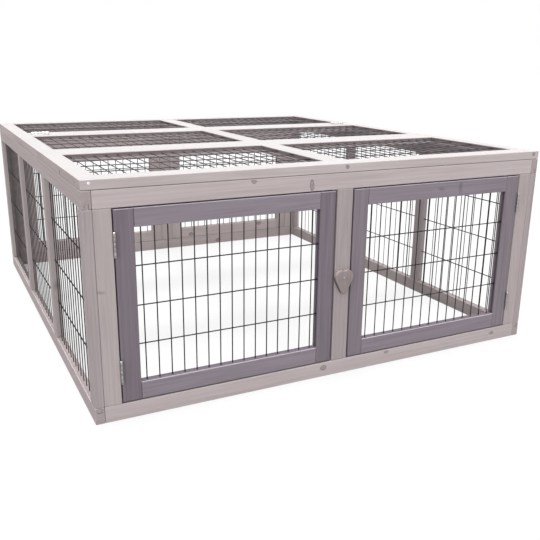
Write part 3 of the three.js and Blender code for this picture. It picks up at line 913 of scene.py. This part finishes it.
def domed_head(name, radius, height, cross=True, slot=0.16):
    """A domed head on the origin, facing up, with a cross recess; slot is its half width in radii."""
    begin()
    bpy.ops.mesh.primitive_uv_sphere_add(segments=24, ring_count=12, radius=radius, location=(0, 0, 0))
    obj = bpy.context.object
    obj.name = name
    bpy.ops.object.mode_set(mode="EDIT")
    bpy.ops.mesh.select_all(action="SELECT")
    bpy.ops.mesh.bisect(plane_co=(0, 0, 0), plane_no=(0, 0, 1), clear_inner=True, use_fill=True)
    bpy.ops.object.mode_set(mode="OBJECT")
    obj.scale = (1, 1, height / radius)
    settle(obj)
    if cross:
        reach, half_width = radius * RECESS_REACH, radius * slot
        for turn in (RECESS_TURN, RECESS_TURN + math.pi / 2):
            floor = height * RECESS_FLOOR
            recess = block("recess", (-reach, -half_width, floor), (reach, half_width, height * 2))
            recess.rotation_euler = (0, 0, turn)
            settle(recess)
            cut = obj.modifiers.new("recess", "BOOLEAN")
            cut.operation = "DIFFERENCE"
            cut.object = recess
            cut.solver = "EXACT"
            apply_modifiers(obj)
            bpy.data.objects.remove(recess)
    smooth(obj, 40)
    return obj


FACE_FRONT = (math.pi / 2, 0, 0)
FACE_BACK = (-math.pi / 2, 0, 0)
HINGE_LENGTH = 45 * MM
KNUCKLE = 2.85 * MM
LEAF_BACK = 3.0 * MM
KNUCKLES = 5
KNUCKLE_GAP = 0.3 * MM
PIN = 1.5 * MM
PIN_HEAD = 2.8 * MM
PIN_HEAD_HEIGHT = 1.2 * MM
LEAF = 1.2 * MM
LEAF_REACH = 13 * MM
LEAF_CLEAR = 3.4 * MM
LEAF_APART = 0.5 * MM
PIN_RISE = 3.3 * MM
LEAF_SCREW_PITCH = 15 * MM
LEAF_SCREW_SHARE = 0.55         # of the leaf's reach


def pressed(x, y, z):
    """A pressed steel strip between pairs of values, its edges eased."""
    low, high = zip(*(sorted(pair) for pair in (x, y, z)))
    strip = block("strip", low, high)
    ease(strip, 0.35 * MM)
    return strip


def hinge_leaf(side, moving, flat):
    """One leaf of a butt hinge, its pin upright on the origin and the boards behind it: rolled
    knuckles, and a plate that reaches in between two boards or lies flat on one."""
    segment = (HINGE_LENGTH - (KNUCKLES - 1) * KNUCKLE_GAP) / KNUCKLES
    if flat:
        back = (LEAF_BACK - LEAF, LEAF_BACK)
        plate = (side * LEAF_CLEAR, side * (LEAF_CLEAR + LEAF_REACH)), back
        tab = (0, side * (LEAF_CLEAR + LEAF)), back
    else:
        beside = (side * LEAF_APART, side * (LEAF_APART + LEAF))
        plate = beside, (LEAF_CLEAR, LEAF_CLEAR + LEAF_REACH)
        tab = beside, (1 * MM, LEAF_CLEAR + LEAF)
    parts = [pressed(*plate, (-HINGE_LENGTH / 2, HINGE_LENGTH / 2))]
    for i in range(1 if moving else 0, KNUCKLES, 2):
        start = -HINGE_LENGTH / 2 + i * (segment + KNUCKLE_GAP)
        parts.append(pressed(*tab, (start, start + segment)))
        knuckle = round_bar("knuckle", (0, 0, start + segment / 2), Z, KNUCKLE, segment, 28)
        ease(knuckle, 0.3 * MM, 2, 50)
        parts.append(knuckle)
    if flat:
        screw = domed_head("leaf_screw", 2.8 * MM, 0.9 * MM)
        for step in (-1, 0, 1):
            x, y = side * (LEAF_CLEAR + LEAF_REACH * LEAF_SCREW_SHARE), LEAF_BACK - LEAF + 0.2 * MM
            parts.append(copy_of(screw, "leaf_screw", (x, y, step * LEAF_SCREW_PITCH), FACE_FRONT))
        bpy.data.objects.remove(screw)
    leaf = join("leaf", parts)
    smooth(leaf, 35)
    return leaf


def hinge_pin():
    """The pin through the knuckles, with a domed head at each end."""
    pin = round_bar("pin", (0, 0, 0), Z, PIN, HINGE_LENGTH, 20)
    head = domed_head("pin_head", PIN_HEAD, PIN_HEAD_HEIGHT, cross=False)
    end = HINGE_LENGTH / 2 - 0.05 * MM
    top = copy_of(head, "pin_head", (0, 0, end))
    bottom = copy_of(head, "pin_head", (0, 0, -end), (math.pi, 0, 0))
    bpy.data.objects.remove(head)
    pin = join("pin", [pin, top, bottom])
    smooth(pin, 40)
    return pin


def hang(prefix, moving_name, patterns, centre, turn, plate):
    """Sets copies of a hinge's fixed leaf, moving leaf and pin in the place of their nodes."""
    fixed, moving, pin = patterns
    frame_node, moving_node = f"{prefix}_frame_leaf", f"{prefix}_{moving_name}"
    dress(copy_of(fixed, f"{frame_node}_plate", centre, turn), frame_node, plate)
    dress(copy_of(moving, f"{moving_node}_plate", centre, turn), moving_node, plate)
    dress(copy_of(pin, f"{prefix}_pin", centre, turn), frame_node, zinc_painted_highlight)


def hinges():
    pin = hinge_pin()
    patterns = hinge_leaf(-1, False, False), hinge_leaf(1, True, False), pin
    for side, turn in (("left", (0, 0, 0)), ("right", (0, math.pi, 0))):
        for level in ("upper", "lower"):
            low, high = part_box(f"{side}_door_{level}_hinge_door_leaf")
            centre = ((low.x + high.x) / 2, front_y[0] - PIN_RISE, (low.z + high.z) / 2)
            hang(f"{side}_door_{level}_hinge", "door_leaf", patterns, centre, turn, zinc)
    flat = hinge_leaf(-1, False, True), hinge_leaf(1, True, True), pin
    lie_down = Matrix(((0, 0, 1), (-1, 0, 0), (0, -1, 0))).to_euler()
    top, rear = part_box("middle_roof_frame")[1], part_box("rear_roof_frame")[0]
    for side in ("left", "right"):
        low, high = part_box(f"roof_{side}_hinge_lid_leaf")
        centre = ((low.x + high.x) / 2, (top.y + rear.y) / 2, top.z + PIN_RISE)
        hang(f"roof_{side}_hinge", "lid_leaf", flat, centre, lie_down, zinc_painted_highlight)
    for pattern in patterns + flat[:2]:
        bpy.data.objects.remove(pattern)


HEART_RISE = 1.2 * MM           # drawn this much taller at each end than its solid


def turn_button():
    """A heart sawn from plywood, its rim rounded over, on one domed screw."""
    low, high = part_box("heart_turn_button")
    thickness = high.y - low.y
    lobe, tip, rounded = 14.6 * MM, 8.5 * MM, 1.6 * MM
    lobe_x, lobe_z = high.x - lobe, high.z + HEART_RISE - lobe
    tip_z = low.z - HEART_RISE + tip
    span = math.hypot(lobe_x, lobe_z - tip_z)
    line = math.atan2(tip_z - lobe_z, -lobe_x)
    touch = line + math.acos((lobe - tip) / span)
    notch = math.acos(lobe_x / lobe)

    def arc(cx, cz, radius, start, stop, steps):
        return [
            (cx + radius * math.cos(start + (stop - start) * i / steps),
             cz + radius * math.sin(start + (stop - start) * i / steps)) for i in range(steps + 1)
        ]

    points = arc(lobe_x, lobe_z, lobe, math.pi - notch, touch, 28)
    points += arc(0, tip_z, tip, touch, -math.pi - touch, 14)
    points += arc(-lobe_x, lobe_z, lobe, -math.pi - touch, notch - 2 * math.pi, 28)[:-1]
    outline = bpy.data.curves.new("heart", "CURVE")
    outline.dimensions = "2D"
    outline.fill_mode = "BOTH"
    outline.extrude = thickness / 2 - rounded
    outline.bevel_depth = rounded
    outline.bevel_resolution = 3
    outline.offset = -rounded
    spline = outline.splines.new("POLY")
    spline.points.add(len(points) - 1)
    for point, (x, z) in zip(spline.points, points):
        point.co = (x, z, 0, 1)
    spline.use_cyclic_u = True
    curve = bpy.data.objects.new("heart_turn_button_heart", outline)
    bpy.context.collection.objects.link(curve)
    only(curve)
    bpy.ops.object.convert(target="MESH")
    heart = bpy.context.object
    heart.rotation_euler = (math.pi / 2, 0, 0)
    heart.location = (0, (low.y + high.y) / 2, 0)
    settle(heart)
    bpy.ops.object.mode_set(mode="EDIT")
    bpy.ops.mesh.select_all(action="SELECT")
    bpy.ops.mesh.remove_doubles(threshold=TOUCHING)
    bpy.ops.mesh.normals_make_consistent(inside=False)
    bpy.ops.object.mode_set(mode="OBJECT")
    smooth(heart, 35)
    dress(heart, "heart_turn_button", plywood)
    pivot_z = (foot_top + head_bottom) / 2
    pattern = domed_head("screw", 3.5 * MM, 1.4 * MM, slot=0.3)
    head = copy_of(pattern, "turn_button_screw", (0, low.y - 0.1 * MM, pivot_z), FACE_FRONT)
    dress(head, "front_mullion", zinc)
    bpy.data.objects.remove(pattern)


# ---------------------------------------------------------------- roof

def roof_section(name):
    """A grooved frame of two rails with three bearers tongued into them, and its two mesh sheets."""
    node = f"{name}_roof_frame"
    low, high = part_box(node)
    mesh_low, mesh_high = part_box(f"{name}_roof_left_mesh")
    groove = (mesh_low.z + mesh_high.z) / 2
    inner_front, inner_rear = low.y + ROOF_RAIL, high.y - ROOF_RAIL
    half = ROOF_RAIL / 2
    rails = (("front_rail", low.y, inner_front, [(Y, 1)]), ("rear_rail", inner_rear, high.y, [(Y, -1)]))
    for part, y0, y1, grooves in rails:
        a, b = (low.x, y0, low.z), (high.x, y1, high.z)
        board(f"{name}_roof_{part}_board", node, a, b, X, grooves, groove, "roof")
    bearers = (
        ("left_bearer", low.x, low.x + ROOF_SIDE, [(X, 1)]),
        ("right_bearer", high.x - ROOF_SIDE, high.x, [(X, -1)]),
        ("centre_bearer", -half, half, [(X, -1), (X, 1)]),
    )
    thick, deep = GROOVE_WIDTH / 2 - TONGUE_PLAY, GROOVE_DEPTH - TONGUE_PLAY
    for part, x0, x1, grooves in bearers:
        a, b = (x0, inner_front + GAP, low.z), (x1, inner_rear - GAP, high.z)
        left = x0 + (GROOVE_DEPTH + GAP if (X, -1) in grooves else TONGUE_EDGE)
        right = x1 - (GROOVE_DEPTH + GAP if (X, 1) in grooves else TONGUE_EDGE)
        tongues = [
            ((left, inner_front - deep, groove - thick), (right, inner_front + TONGUE_ROOT, groove + thick)),
            ((left, inner_rear - TONGUE_ROOT, groove - thick), (right, inner_rear + deep, groove + thick)),
        ]
        board(f"{name}_roof_{part}_board", node, a, b, Y, grooves, groove, "roof", tongues)
    for side in ("left", "right"):
        mesh_sheet(f"{name}_roof_{side}_mesh", X, Z, Y, LONG_PITCH, coat=roof_wire_painted_lighter)


def roof_screws():
    """Countersunk screws through the outer roof rails into the bearers' ends, a hair proud."""
    front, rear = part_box("front_roof_frame")[0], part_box("rear_roof_frame")[1]
    pattern = domed_head("screw", 2.9 * MM, 0.7 * MM)
    ends = ("front", front.y + 0.3 * MM, FACE_FRONT), ("rear", rear.y - 0.65 * MM, FACE_BACK)
    for end, y, turn in ends:
        for i, x in enumerate(ROOF_SCREWS_X):
            place = (x * MM, y, ROOF_SCREWS_Z * MM)
            head = copy_of(pattern, f"{end}_roof_screw_{i + 1}", place, turn)
            # The first screw of each end gets the painted highlight.
            dress(head, f"{end}_roof_frame", zinc if i else zinc_painted_highlight)
    bpy.data.objects.remove(pattern)


front_wall()
rear_wall()
side_wall("left")
side_wall("right")
door("left")
door("right")
hinges()
turn_button()
for section in ("front", "middle", "rear"):
    roof_section(section)
roof_screws()
clear_patterns()

bpy.context.scene.view_settings.view_transform = "Standard"
begin()
